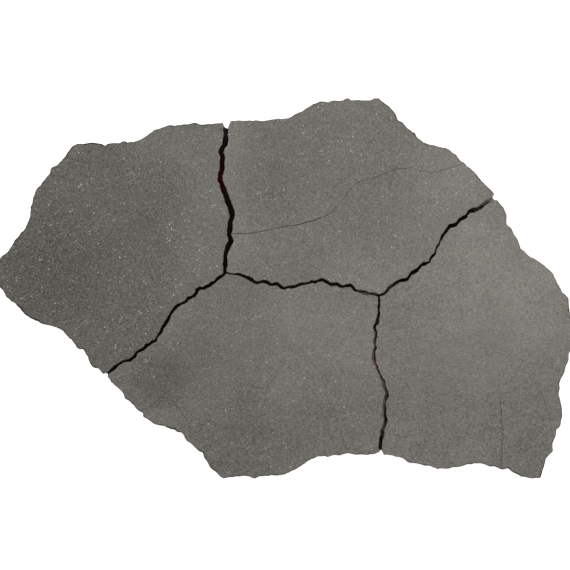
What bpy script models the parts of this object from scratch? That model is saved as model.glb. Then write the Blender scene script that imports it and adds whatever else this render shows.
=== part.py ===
"""A riven slate slab for a path or terrace, broken right through into four pieces that still lie
together. Each piece is one solid: a stack of outlines from the flat underside to the chipped rim,
with the top split along an uneven riven surface.

The breaks run down through the upper beds, slide sideways along one weak bed, and go on down to the
underside, so each piece keeps a low tongue or a matching undercut along every break.

Frame: metres, +Z up, X along the slab, -Y towards the front edge, origin under the slab's centre.
"""

import math
from dataclasses import dataclass

import bmesh
import bpy
from mathutils import Vector, noise

# Driving dimensions, in metres.
SLAB_WIDTH = 0.925  # from the left tip to the right side
THICKNESS = 0.030
RELIEF = 0.0016  # the most that the riven top dips below the full thickness
RELIEF_FACET = 0.026  # the side of one facet of the riven top
FISSURE_WIDTH = 0.0016  # the hairline fissure of the rear piece, at the top
FISSURE_DEPTH = 0.0022
BREAK_SLIDE = Vector((0.0132, -0.0072))  # how far the breaks slide along the weak bed
JUNCTION_SHARE = 0.12  # the share of the middle break at each end where its slide changes
LEAN_FULLNESS = 1.8  # over 1, a leaning stretch keeps its full lean for longer
MOUTH_FADE = 0.030  # the stretch of split edge beside a break that follows the slide
RIM_WEAR = 0.0005  # how far the top of a break is worn back
INSET_REACH = 3  # corners to each side that the inset direction is evened out over

# The plan is drawn on squares: x runs to the right, y runs from the rear edge to the front edge.
PLAN_LEFT = -5.5
PLAN_RIGHT = 573.0
PLAN_REAR = 98.2
PLAN_FRONT = 478.6
SQUARE = SLAB_WIDTH / (PLAN_RIGHT - PLAN_LEFT)
SLAB_DEPTH = (PLAN_FRONT - PLAN_REAR) * SQUARE

# The grain of the split edges and of the riven top.
EDGE_RIPPLES_PER_METRE = 42.0
EDGE_CHANGE_PER_METRE = 900.0  # how fast a ripple changes from one bed to the next
SWELLS_PER_METRE = 7.5
SWELL_TURN = math.radians(38)  # the swells run this far round from X
SWELL_STRETCH = 2.4  # how much longer a swell is than wide
FACET_SHIFT = 0.3  # the most that a corner of the riven top is moved sideways, as a share of a facet
FACET_SHIFTS_PER_METRE = 90.0
NOISE_REACH = 0.6  # the most that the noise is away from 0

SLATE_COLOUR = (0.155, 0.149, 0.136, 1.0)
SLATE_ROUGHNESS = 0.82


@dataclass
class Bed:
    """One outline of the stack, at a bedding plane."""

    height: float
    slide: float  # share of the slide that a break has made by here
    lean: float  # share of a leaning break's lean
    set_back: float  # how far a split edge stands back from the slab's outline
    ragged: float  # how much that varies along the edge
    wear: float = 0.0  # how far the walls of a break are worn back


BEDS = (
    Bed(height=0.0, slide=1.0, lean=1.0, set_back=0.0055, ragged=0.0020),
    Bed(height=0.0040, slide=1.0, lean=1.0, set_back=0.0022, ragged=0.0020),
    Bed(height=0.0080, slide=1.0, lean=1.0, set_back=0.0012, ragged=0.0014),
    Bed(height=0.0120, slide=0.0, lean=1.0, set_back=0.0030, ragged=0.0018),
    Bed(height=0.0225, slide=0.0, lean=0.9, set_back=0.0008, ragged=0.0010),
    Bed(height=0.0275, slide=0.0, lean=0.35, set_back=0.0, ragged=0.0),
    Bed(height=THICKNESS, slide=0.0, lean=0.0, set_back=0.0018, ragged=0.0012, wear=RIM_WEAR),
)


@dataclass
class Break:
    """A crack right through the slab, from a junction to its mouth or to the other junction."""

    path: list  # (x, y, gap) on the plan, in squares
    start: tuple  # the junction that it starts from
    end: tuple = None  # the junction that it ends at, if it has no mouth
    middle_slide: Vector = None  # the slide between the junctions, where that differs from BREAK_SLIDE
    mouth_slide: Vector = None  # the slide at its mouth, where that differs from BREAK_SLIDE
    leans: tuple = ()  # (middle, half length, metres): stretches, by share of length, that lean


LEFT_JUNCTION = (225.6, 272.8)
RIGHT_JUNCTION = (379.4, 295.2)

REAR_LEFT_BREAK = Break(
    start=LEFT_JUNCTION,
    path=[
        (225.2, 268, 3.7), (225.2, 262, 3.7), (225.4, 256, 3.8), (226.4, 251, 4.2), (228, 247, 4.8),
        (229.8, 244, 5.2), (231, 240.5, 5.4), (229, 235, 4.2), (230.3, 228, 5.2), (230.4, 222, 5.0),
        (232.2, 215.5, 4.5), (231.5, 211, 5.4), (230, 206, 4.8), (227.2, 200, 5.4), (225.4, 194, 4.8),
        (223.5, 189, 4.8), (221.8, 184, 4.8), (220, 179, 5.0), (219.4, 176, 4.7), (221.5, 172, 4.9),
        (222.2, 167, 5.0), (222, 162, 4.6), (223, 157, 4.1), (221.4, 152, 5.2), (222.8, 147.5, 5.4),
        (225, 143.5, 5.3), (225.7, 139, 5.2), (226.1, 134, 3.8), (225.6, 130.5, 4.6), (226, 126, 4.0),
    ],
)  # fmt: skip

FRONT_LEFT_BREAK = Break(
    start=LEFT_JUNCTION,
    path=[
        (222, 275.2, 2.8), (215, 280.6, 2.9), (209, 285.6, 2.9), (204, 288.2, 3.0), (199.5, 288.6, 3.0),
        (197, 290, 2.6), (196.2, 293, 2.6), (194, 295.6, 3.0), (188, 298.8, 3.2), (185, 302, 2.6),
        (177, 305.8, 2.2), (175, 308, 2.8), (170, 314.4, 3.0), (167, 320.5, 3.0), (163.5, 326.5, 2.8),
        (161, 332, 2.6), (157, 336.5, 2.6), (155.2, 340.5, 2.8), (150, 343.8, 2.8), (146, 346, 3.0),
        (143.5, 349, 2.8), (136.7, 352.4, 2.8), (134.3, 357, 3.0), (131, 359.4, 2.8), (123, 361.5, 2.8),
        (117, 365.5, 2.8), (112, 369.5, 3.0), (107.6, 373.8, 2.2),
    ],
)  # fmt: skip

MIDDLE_BREAK = Break(
    start=LEFT_JUNCTION,
    end=RIGHT_JUNCTION,
    middle_slide=Vector((0.0, -0.0095)),
    leans=((0.90, 0.07, 0.0035),),
    path=[
        (232, 273.4, 1.8), (240, 274.7, 2.2), (246, 276.6, 2.8), (250.5, 279, 3.0), (254.5, 282.5, 2.8),
        (257.5, 283, 2.6), (262, 281.6, 3.0), (266, 282.3, 3.0), (271, 284, 3.0), (277, 284.7, 3.0),
        (282, 287.6, 2.6), (285, 288.3, 2.4), (288, 287.1, 2.4), (294.5, 287.2, 2.4), (301, 284.8, 2.6),
        (308, 282.7, 2.6), (311.5, 281.5, 2.4), (316, 281.8, 2.4), (321.5, 280.3, 3.2), (325.5, 281.9, 3.0),
        (331, 284.2, 3.0), (337, 284.6, 3.4), (343, 287, 2.6), (350, 285.6, 3.4), (354.5, 289, 3.2),
        (359, 291.3, 3.0), (368, 293.1, 3.0), (375, 294, 2.2),
    ],
)  # fmt: skip

REAR_RIGHT_BREAK = Break(
    start=RIGHT_JUNCTION,
    mouth_slide=Vector((0.0045, BREAK_SLIDE.y)),
    leans=((0.09, 0.08, -0.0030), (0.92, 0.08, -0.0032)),
    path=[
        (383, 293.3, 2.2), (388, 289.4, 2.6), (393.5, 284.6, 2.8), (399, 281, 3.2), (406.5, 280, 3.2),
        (408.5, 277.5, 2.6), (410.5, 274, 3.0), (416.5, 270.2, 3.2), (419.5, 266.8, 2.8), (422, 264.7, 2.6),
        (428.5, 262, 2.6), (430.3, 258, 2.4), (434, 254, 2.2), (437, 247, 2.0), (441, 238.5, 2.6),
        (446.5, 231.5, 2.6), (449, 227, 3.0), (456, 224, 3.2), (460, 219.6, 2.8), (466, 216, 2.8),
        (469.5, 211.2, 3.2), (476, 209.2, 3.4), (484, 204.3, 2.8), (490, 200.2, 2.4), (492.9, 198.6, 2.0),
    ],
)  # fmt: skip

FRONT_RIGHT_BREAK = Break(
    start=RIGHT_JUNCTION,
    mouth_slide=Vector((BREAK_SLIDE.x, 0.0)),
    leans=((0.48, 0.40, 0.0055),),
    path=[
        (379, 300, 2.0), (379.2, 309, 1.9), (378.6, 316, 2.4), (376.5, 323, 3.0), (374, 326.8, 2.6),
        (375.8, 332, 2.0), (375.6, 337, 2.0), (374.5, 341.5, 2.2), (375.4, 347.5, 2.2), (373.3, 352, 2.6),
        (373.6, 357, 2.8), (375.2, 363.5, 2.2), (379, 371.5, 2.0), (382.3, 379.5, 2.8), (384.8, 387.5, 2.6),
        (386.5, 392.5, 2.8), (386.3, 396.5, 2.8), (384.6, 401, 2.8), (384.9, 408, 3.2), (384, 414, 3.0),
        (385.8, 419.8, 2.8), (384.3, 425, 3.4), (382.2, 431, 3.6), (381.2, 438, 3.0), (380.6, 445, 3.0),
        (380.6, 451.5, 3.2),
    ],
)  # fmt: skip

# The split edges of the slab, anticlockwise from one mouth to the next.
LEFT_EDGE = [
    (222.5, 123.8), (213, 124.2), (203, 125), (194, 123.2), (188, 124.8), (182, 124.3), (175, 125.8),
    (168, 125.2), (160, 128.2), (155, 130.3), (147, 135.5), (141, 139.2), (135, 141.8), (130, 142),
    (128.3, 143.4), (124, 141.3), (119.5, 143.6), (112, 143), (107.5, 144), (105, 146.2), (101, 144.2),
    (90, 143), (82, 144.2), (76.5, 143.9), (71.5, 146.8), (66.5, 154.5), (65, 157.5), (60, 162.5),
    (57, 166), (52.5, 167), (51, 168.8), (49.8, 174), (45.5, 178.3), (40.5, 185.6), (37, 188),
    (34, 195.5), (31, 207), (29.9, 216), (27, 226), (24.5, 230), (20, 234.8), (16, 239), (11, 247),
    (8.5, 252), (3, 256), (-3, 262), (PLAN_LEFT, 270), (-4, 280), (0, 286.5), (4, 290.5), (6.5, 297.5),
    (13, 302), (20.5, 308), (25, 314.5), (30, 317.8), (38.5, 321), (40, 323), (53, 326.3), (62, 330),
    (69, 338.6), (72.5, 340), (77, 347), (80, 349), (83.5, 348.4), (86.5, 355), (90, 363), (94, 367),
    (98.5, 368.8), (103, 373),
]  # fmt: skip

FRONT_EDGE = [
    (108.2, 377), (111, 381), (120, 389.5), (124, 395), (125, 399), (130, 401), (136, 408.5),
    (139, 410.7), (142.8, 412.5), (144, 417.5), (150, 420.3), (156, 424), (165, 426.3), (173, 429),
    (177.5, 431.7), (181.5, 432.2), (185, 438), (187, 441), (193, 445), (198, 450), (203, 452.3),
    (205, 458.5), (210, 467), (216, 471), (220.5, 476), (224, 478.3), (235, 476.6), (245, 475.8),
    (250, 476), (254.5, PLAN_FRONT), (260, 476), (270, 475.4), (281, 475), (290, 471.8), (300, 466.8),
    (309, 460.5), (318, 456.3), (328, 456.6), (334, 454.8), (340, 455), (347, 453), (355, 454.3),
    (368, 454.6), (376, 453.7),
]  # fmt: skip

RIGHT_EDGE = [
    (384.6, 454.6), (391, 455.3), (396, 457), (403, 458), (411, 463.5), (419, 463.8), (424, 465.5),
    (430, 465.8), (438, 469), (449, 468.8), (455, 467.2), (462, 466.2), (468, 464), (480, 462.8),
    (488, 465.7), (495, 466.5), (503, 469.4), (507.5, 467.7), (512, 471), (520, 475.8), (530, 478),
    (540, 478.4), (543, 470), (545.5, 458.5), (553, 451), (552.6, 443), (556, 437), (556.3, 430),
    (560, 426), (562, 414), (560.3, 402), (559, 394), (559.6, 388), (559, 383), (563, 375), (566, 366),
    (568.3, 361), (568.5, 353.5), (572, 349), (PLAN_RIGHT, 338), (571, 325), (569.5, 312), (568, 298),
    (563, 293.5), (557, 283), (553.5, 274), (545, 266), (537, 261), (528.5, 255.5), (521, 248.5),
    (518, 240), (512.8, 232.5), (512, 228.5), (507.3, 225.6), (506.5, 215), (504, 208), (500.5, 205),
    (497, 200.2),
]  # fmt: skip

REAR_EDGE = [
    (494, 194), (490, 189.5), (482, 181.5), (477, 176), (474, 171.5), (466.5, 166), (464.5, 163),
    (459, 159.8), (456, 154.8), (446, 148.8), (434, 145.6), (424, 142.7), (417, 137.5), (414.5, 133.2),
    (409, 129.5), (403.5, 123.5), (397.3, 120), (395, 114), (390, 107.3), (381, 101), (378, 98.6),
    (374, PLAN_REAR), (372, 100), (360, 100.3), (351, 100.6), (349, 98.3), (345.5, 98.6), (343, 100.5),
    (333, 101), (328, 102), (320.5, 101.5), (313, 104.5), (302, 111.5), (290, 117.5), (285.5, 119),
    (276, 119), (271, 120.2), (263, 120.8), (250, 120.5), (230.4, 121), (230, 123.2), (228.4, 124.4),
]  # fmt: skip

# A hairline fissure across the rear piece, from the rear left break to the split edge.
FISSURE = [
    (226, 233.6),
    (234, 233.8), (249, 233.6), (259, 232), (269, 230.2), (280, 227.4), (290, 225.4), (302, 223.8),
    (311, 221.2), (320, 218.4), (328, 214.5), (333.5, 210.6), (338.5, 204.4), (344, 197.3), (351, 189),
    (356, 183.2), (362, 180.6), (371.5, 179.2), (381, 175), (390, 171), (396, 168.4), (405, 168.7),
    (412, 168), (419, 170.6), (428, 172.8), (439, 171.7), (445, 168.8), (453, 167.2), (461, 164.4),
    (470, 161),
]  # fmt: skip


@dataclass
class EdgePoint:
    """A corner of a piece's outline, and what happens to it further down."""

    place: Vector
    slide: Vector
    lean: Vector
    split: float  # 1 on a split edge, 0 on a break, and between them beside a mouth


def on_plan(x, y):
    """A point of the plan as metres in X and Y from the middle of the slab."""
    return Vector((x - (PLAN_LEFT + PLAN_RIGHT) / 2, (PLAN_REAR + PLAN_FRONT) / 2 - y)) * SQUARE


def turned_left(direction):
    return Vector((-direction.y, direction.x))


def lengths_along(points):
    """The distance from the first point to each point, along the line."""
    total = 0.0
    lengths = [0.0]
    for here, there in zip(points, points[1:]):
        total += (there - here).length
        lengths.append(total)
    return lengths


def lean_at(crack, share):
    """How far the break leans at a share of its length: a smooth swell over each leaning stretch."""
    lean = 0.0
    for middle, half_length, most in crack.leans:
        offset = abs(share - middle) / half_length
        if offset < 1.0:
            lean += most * min(1.0, LEAN_FULLNESS * math.cos(offset * math.pi / 2) ** 2)
    return lean


def slide_at(crack, share):
    """How far the break slides along the weak bed at a share of its length."""
    if crack.mouth_slide:
        return BREAK_SLIDE.lerp(crack.mouth_slide, share**3)
    if crack.middle_slide:
        into_middle = min(1.0, share / JUNCTION_SHARE, (1.0 - share) / JUNCTION_SHARE)
        return BREAK_SLIDE.lerp(crack.middle_slide, into_middle)
    return BREAK_SLIDE


def wall_of_break(crack, side):
    """The points of one wall of a break, from its start. side is +1 for the wall on its left."""
    places = [on_plan(x, y) for x, y, _ in crack.path]
    gaps = [gap * SQUARE for _, _, gap in crack.path]
    ends = [on_plan(*crack.start), *places]
    ends.append(on_plan(*crack.end) if crack.end else 2 * places[-1] - places[-2])
    lengths = lengths_along(ends)
    wall = []
    for i, (place, gap) in enumerate(zip(places, gaps), start=1):
        left = turned_left((ends[i + 1] - ends[i - 1]).normalized())
        share = lengths[i] / lengths[-1]
        corner = place + left * (side * gap / 2)
        wall.append(EdgePoint(corner, slide_at(crack, share), left * lean_at(crack, share), 0.0))
    return wall


def junction_corner(junction, first, second):
    """A piece's corner where two breaks meet: the crossing of their walls on the piece's side."""
    middle = on_plan(*junction)
    directions = []
    halves = []
    for crack in (first, second):
        point = crack.path[0] if crack.start == junction else crack.path[-1]
        directions.append((on_plan(point[0], point[1]) - middle).normalized())
        halves.append(point[2] * SQUARE / 2)
    spread = abs(directions[0].cross(directions[1]))
    corner = middle + (directions[0] * halves[1] + directions[1] * halves[0]) / spread
    return EdgePoint(corner, BREAK_SLIDE, Vector((0.0, 0.0)), 0.0)


def split_edge(points, before, after):
    """The points of a split edge. before and after are the wall ends at its two mouths."""
    places = [on_plan(x, y) for x, y in points]
    lengths = lengths_along([before.place, *places, after.place])
    edge = []
    for place, length in zip(places, lengths[1:]):
        near_start = max(0.0, 1.0 - length / MOUTH_FADE)
        near_end = max(0.0, 1.0 - (lengths[-1] - length) / MOUTH_FADE)
        slide = before.slide * near_start + after.slide * near_end
        edge.append(EdgePoint(place, slide, Vector((0.0, 0.0)), 1.0 - max(near_start, near_end)))
    return edge


def outlines_of_pieces():
    """The outline of each piece, anticlockwise, by the piece's name."""

    def walls(crack):
        return wall_of_break(crack, +1), wall_of_break(crack, -1)

    rear_left, rear_left_right = walls(REAR_LEFT_BREAK)
    front_left, front_left_right = walls(FRONT_LEFT_BREAK)
    middle, middle_right = walls(MIDDLE_BREAK)
    rear_right, rear_right_right = walls(REAR_RIGHT_BREAK)
    front_right, front_right_right = walls(FRONT_RIGHT_BREAK)

    return {
        "left_piece": [
            junction_corner(LEFT_JUNCTION, REAR_LEFT_BREAK, FRONT_LEFT_BREAK),
            *rear_left,
            *split_edge(LEFT_EDGE, rear_left[-1], front_left_right[-1]),
            *reversed(front_left_right),
        ],
        "front_piece": [
            junction_corner(LEFT_JUNCTION, FRONT_LEFT_BREAK, MIDDLE_BREAK),
            *front_left,
            *split_edge(FRONT_EDGE, front_left[-1], front_right_right[-1]),
            *reversed(front_right_right),
            junction_corner(RIGHT_JUNCTION, FRONT_RIGHT_BREAK, MIDDLE_BREAK),
            *reversed(middle_right),
        ],
        "right_piece": [
            junction_corner(RIGHT_JUNCTION, FRONT_RIGHT_BREAK, REAR_RIGHT_BREAK),
            *front_right,
            *split_edge(RIGHT_EDGE, front_right[-1], rear_right_right[-1]),
            *reversed(rear_right_right),
        ],
        "rear_piece": [
            junction_corner(RIGHT_JUNCTION, REAR_RIGHT_BREAK, MIDDLE_BREAK),
            *rear_right,
            *split_edge(REAR_EDGE, rear_right[-1], rear_left_right[-1]),
            *reversed(rear_left_right),
            junction_corner(LEFT_JUNCTION, REAR_LEFT_BREAK, MIDDLE_BREAK),
            *middle,
        ],
    }


def outward_directions(outline):
    """The outward direction at each corner, evened out over its neighbours so that insets don't cross."""
    count = len(outline)
    directions = []
    for i in range(count):
        along = outline[(i + INSET_REACH) % count].place - outline[i - INSET_REACH].place
        near = outline[(i + 1) % count].place - outline[i - 1].place
        blended = along.normalized() + near.normalized()
        directions.append(-turned_left(blended.normalized()))
    return directions


def points_of_bed(outline, bed):
    """The outline of a piece at one bedding plane, as points in space."""
    points = []
    for point, outward in zip(outline, outward_directions(outline)):
        across = point.place * EDGE_RIPPLES_PER_METRE
        up = bed.height * EDGE_CHANGE_PER_METRE
        ripple = noise.noise(Vector((across.x, across.y, up))) / NOISE_REACH
        set_back = point.split * max(0.0, bed.set_back + bed.ragged * ripple)
        set_back += (1.0 - point.split) * bed.wear
        place = point.place + point.slide * bed.slide + point.lean * bed.lean - outward * set_back
        points.append((place.x, place.y, bed.height))
    return points


def slate():
    material = bpy.data.materials.new("slate")
    material.use_nodes = True
    shader = material.node_tree.nodes["Principled BSDF"]
    shader.inputs["Base Color"].default_value = SLATE_COLOUR
    shader.inputs["Roughness"].default_value = SLATE_ROUGHNESS
    shader.inputs["Metallic"].default_value = 0.0
    return material


def object_from(built, name, collection):
    mesh = bpy.data.meshes.new(name)
    built.to_mesh(mesh)
    built.free()
    made = bpy.data.objects.new(name, mesh)
    collection.objects.link(made)
    return made


def solid_between(name, layers, collection):
    """A closed solid through a stack of outlines with the same number of points, lowest first."""
    solid = bmesh.new()
    rings = [[solid.verts.new(point) for point in layer] for layer in layers]
    for lower, upper in zip(rings, rings[1:]):
        for i in range(len(lower)):
            solid.faces.new((lower[i - 1], lower[i], upper[i], upper[i - 1]))
    solid.faces.new(list(reversed(rings[0])))
    solid.faces.new(rings[-1])
    bmesh.ops.triangulate(solid, faces=solid.faces)
    bmesh.ops.recalc_face_normals(solid, faces=solid.faces)
    return object_from(solid, name, collection)


def top_height(place):
    """The height of the riven top: long low swells that run diagonally across the slab."""
    along = place.x * math.cos(SWELL_TURN) + place.y * math.sin(SWELL_TURN)
    across = place.y * math.cos(SWELL_TURN) - place.x * math.sin(SWELL_TURN)
    where = Vector((along / SWELL_STRETCH, across, 0.0)) * SWELLS_PER_METRE
    swell = noise.noise(where) / NOISE_REACH
    return THICKNESS - RELIEF * (0.5 + 0.5 * swell)


def waste_above_top(collection):
    """The stone that was split away: a block with the riven top as its underside."""
    margin = 2 * RELIEF_FACET
    waste = bmesh.new()
    bmesh.ops.create_grid(
        waste,
        x_segments=round((SLAB_WIDTH + margin) / RELIEF_FACET),
        y_segments=round((SLAB_DEPTH + margin) / RELIEF_FACET),
        size=0.5,
    )
    for vert in waste.verts:
        vert.co.x *= SLAB_WIDTH + margin
        vert.co.y *= SLAB_DEPTH + margin
        shift = noise.noise_vector(vert.co * FACET_SHIFTS_PER_METRE) * FACET_SHIFT * RELIEF_FACET
        vert.co.xy += shift.xy
        vert.co.z = top_height(vert.co.xy)
    bmesh.ops.triangulate(waste, faces=waste.faces)
    grown = bmesh.ops.extrude_face_region(waste, geom=waste.faces)
    for item in grown["geom"]:
        if isinstance(item, bmesh.types.BMVert):
            item.co.z = THICKNESS + 2 * RELIEF
    bmesh.ops.recalc_face_normals(waste, faces=waste.faces)
    return object_from(waste, "waste_above_top", collection)


def fissure_groove(collection):
    """The V of the hairline fissure, following the riven top."""
    line = [on_plan(x, y) for x, y in FISSURE]
    margin = 2 * RELIEF
    half_width = FISSURE_WIDTH / 2 * (FISSURE_DEPTH + margin) / FISSURE_DEPTH
    layers = []
    for i, place in enumerate(line):
        along = (line[min(i + 1, len(line) - 1)] - line[max(i - 1, 0)]).normalized()
        side = turned_left(along) * half_width
        top = top_height(place) + margin
        left, right = place + side, place - side
        layers.append(
            [
                (place.x, place.y, top_height(place) - FISSURE_DEPTH),
                (left.x, left.y, top),
                (right.x, right.y, top),
            ]
        )
    return solid_between("fissure_groove", layers, collection)


def cut(piece, cutter):
    """Takes the cutter away from the piece."""
    step = piece.modifiers.new("cut", "BOOLEAN")
    step.operation = "DIFFERENCE"
    step.solver = "EXACT"
    step.object = cutter
    depsgraph = bpy.context.evaluated_depsgraph_get()
    mesh = bpy.data.meshes.new_from_object(piece.evaluated_get(depsgraph), depsgraph=depsgraph)
    piece.modifiers.remove(step)
    piece.data = mesh
    mesh.name = piece.name


def main():
    for old in list(bpy.data.objects):
        bpy.data.objects.remove(old)
    collection = bpy.data.collections.new("slate_slab")
    cutters = bpy.data.collections.new("cutters")
    bpy.context.scene.collection.children.link(collection)
    bpy.context.scene.collection.children.link(cutters)
    material = slate()
    waste = waste_above_top(cutters)
    groove = fissure_groove(cutters)
    for cutter in (waste, groove):
        cutter.hide_render = True
        cutter.display_type = "WIRE"
    for name, outline in outlines_of_pieces().items():
        piece = solid_between(name, [points_of_bed(outline, bed) for bed in BEDS], collection)
        cut(piece, waste)
        if name == "rear_piece":
            cut(piece, groove)
        piece.data.materials.clear()
        piece.data.materials.append(material)


main()
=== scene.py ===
"""The slate slab dressed: its riven faces, split edges and cracks, on a pale floor in soft light."""

import math
from dataclasses import dataclass

import bmesh
import bpy
import numpy as np
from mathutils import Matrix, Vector, kdtree
from mathutils.bvhtree import BVHTree

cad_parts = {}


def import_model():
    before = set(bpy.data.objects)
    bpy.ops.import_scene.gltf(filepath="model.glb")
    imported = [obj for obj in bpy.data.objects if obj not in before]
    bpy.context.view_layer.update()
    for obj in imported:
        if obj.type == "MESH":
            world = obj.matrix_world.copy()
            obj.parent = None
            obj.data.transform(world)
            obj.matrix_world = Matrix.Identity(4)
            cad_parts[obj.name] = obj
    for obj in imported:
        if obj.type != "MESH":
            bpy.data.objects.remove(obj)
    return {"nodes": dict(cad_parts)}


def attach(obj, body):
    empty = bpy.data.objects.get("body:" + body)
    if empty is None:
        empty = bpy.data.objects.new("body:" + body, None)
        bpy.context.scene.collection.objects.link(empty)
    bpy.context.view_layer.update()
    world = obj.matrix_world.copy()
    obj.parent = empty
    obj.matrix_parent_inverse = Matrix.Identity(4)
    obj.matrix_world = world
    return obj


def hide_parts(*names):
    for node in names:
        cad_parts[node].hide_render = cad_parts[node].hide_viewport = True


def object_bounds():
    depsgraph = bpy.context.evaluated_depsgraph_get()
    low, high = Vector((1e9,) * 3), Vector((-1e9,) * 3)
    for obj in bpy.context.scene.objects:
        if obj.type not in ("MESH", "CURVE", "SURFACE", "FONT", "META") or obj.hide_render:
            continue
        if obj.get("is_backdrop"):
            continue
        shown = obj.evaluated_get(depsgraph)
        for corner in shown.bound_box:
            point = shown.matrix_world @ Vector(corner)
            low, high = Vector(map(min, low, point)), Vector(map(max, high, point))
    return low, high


# ---- sizes and places, in metres where nothing else is said ----

SLAB_TOP = 0.030
VOXEL = 0.0014  # the size of a fine copy's facets
UNDERSIDE = VOXEL * 0.4  # a point lower than this is on the flat underside
FLAT = (1.0, 1.0, 0.0)  # takes the height out of a place or a direction
MILLIMETRES = 1000.0  # in a metre
FAR_OFF = 1e9  # farther than anything is
SMALLEST = 1e-6  # nothing is divided by less

# The plan that the fissure and the longer marks are drawn on. Its squares are counted right and down.
SLAB_WIDTH = 0.925
PLAN_WIDTH = 578.5
PLAN_MIDDLE = (283.75, 288.4)
SQUARE = SLAB_WIDTH / PLAN_WIDTH
PLACE_DIGITS = 4  # a place is kept to a tenth of a millimetre


def on_plan(*points):
    """The places in metres, from the middle of the slab, of points on the plan."""
    middle_x, middle_y = PLAN_MIDDLE
    return tuple(
        (round((x - middle_x) * SQUARE, PLACE_DIGITS), round((middle_y - y) * SQUARE, PLACE_DIGITS))
        for x, y in points
    )


@dataclass
class Mark:
    """A thin line on a piece's riven face: a fissure, a scratch or a seam."""

    points: tuple
    half_width: float
    depth: float  # how deep it is cut; 0 is a line of colour alone
    tone: float  # below 0 darker than the slate, above 0 lighter


# The fissure across the rear piece, from the crack on its left. It almost closes before its last stretch. Its
# dark tone is painted shade in its groove.
FISSURE = (
    Mark(
        on_plan((226, 233.6), (234, 233.8), (249, 233.6), (259, 232), (269, 230.2), (280, 227.4),
                (290, 225.4), (302, 223.8), (311, 221.2), (320, 218.4), (328, 214.5)),
        0.00078, 0.0012, -0.90,
    ),
    Mark(
        on_plan((328, 214.5), (333.5, 210.6), (338.5, 204.4), (344, 197.3), (351, 189), (356, 183.2),
                (362, 180.6), (371.5, 179.2), (381, 175), (390, 171), (396, 168.4), (405, 168.7), (412, 168)),
        0.00078, 0.0008, -0.54,
    ),
    Mark(on_plan((412, 168), (419, 170.6)), 0.00070, 0.0005, -0.12),
    Mark(
        on_plan((419, 170.6), (428, 172.8), (439, 171.7), (445, 168.8), (453, 167.2), (461, 164.4),
                (470, 161)),
        0.00078, 0.0008, -0.54,
    ),
)

# The marks on each riven face: apart from the fissure, faint seams, a dark streak and a few pale scratches.
MARKS = {
    "left_piece": (),
    "rear_piece": (
        *FISSURE,
        Mark(((-0.0044, 0.2100), (0.0040, 0.2132)), 0.0009, 0.0, -0.35),
    ),
    "front_piece": (
        Mark(((-0.2131, -0.1896), (-0.1995, -0.1768), (-0.1851, -0.1648)), 0.0026, 0.0003, -0.27),
        Mark(
            ((-0.1771, -0.1808), (-0.1683, -0.1920), (-0.1603, -0.2024), (-0.1539, -0.2112)),
            0.0017, 0.0004, -0.50,
        ),
        Mark(((-0.1539, -0.2112), (-0.1505, -0.2232), (-0.1491, -0.2376)), 0.0022, 0.0002, -0.24),
        Mark(
            on_plan((362, 299), (352, 315), (340, 326), (326, 335), (316, 352), (302, 355), (288, 359)),
            0.0018, 0.0, 0.16,
        ),
        Mark(on_plan((321, 420), (321.5, 435), (321, 450)), 0.0016, 0.0, 0.20),
    ),
    "right_piece": (
        Mark(((0.3442, -0.1385), (0.3463, -0.1784)), 0.0012, 0.0002, -0.18),
        Mark(
            ((0.3463, -0.1784), (0.3483, -0.2136), (0.3496, -0.2424), (0.3483, -0.2664), (0.3479, -0.2888)),
            0.0013, 0.0005, -0.64,
        ),
        Mark(
            on_plan((464, 253), (459.5, 276), (459.5, 302), (464, 324)),
            0.0014, 0.0002, -0.20,
        ),
        Mark(
            on_plan((429, 343), (422, 360), (419, 377), (414, 402)),
            0.0016, 0.0, 0.15,
        ),
    ),
}

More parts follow.
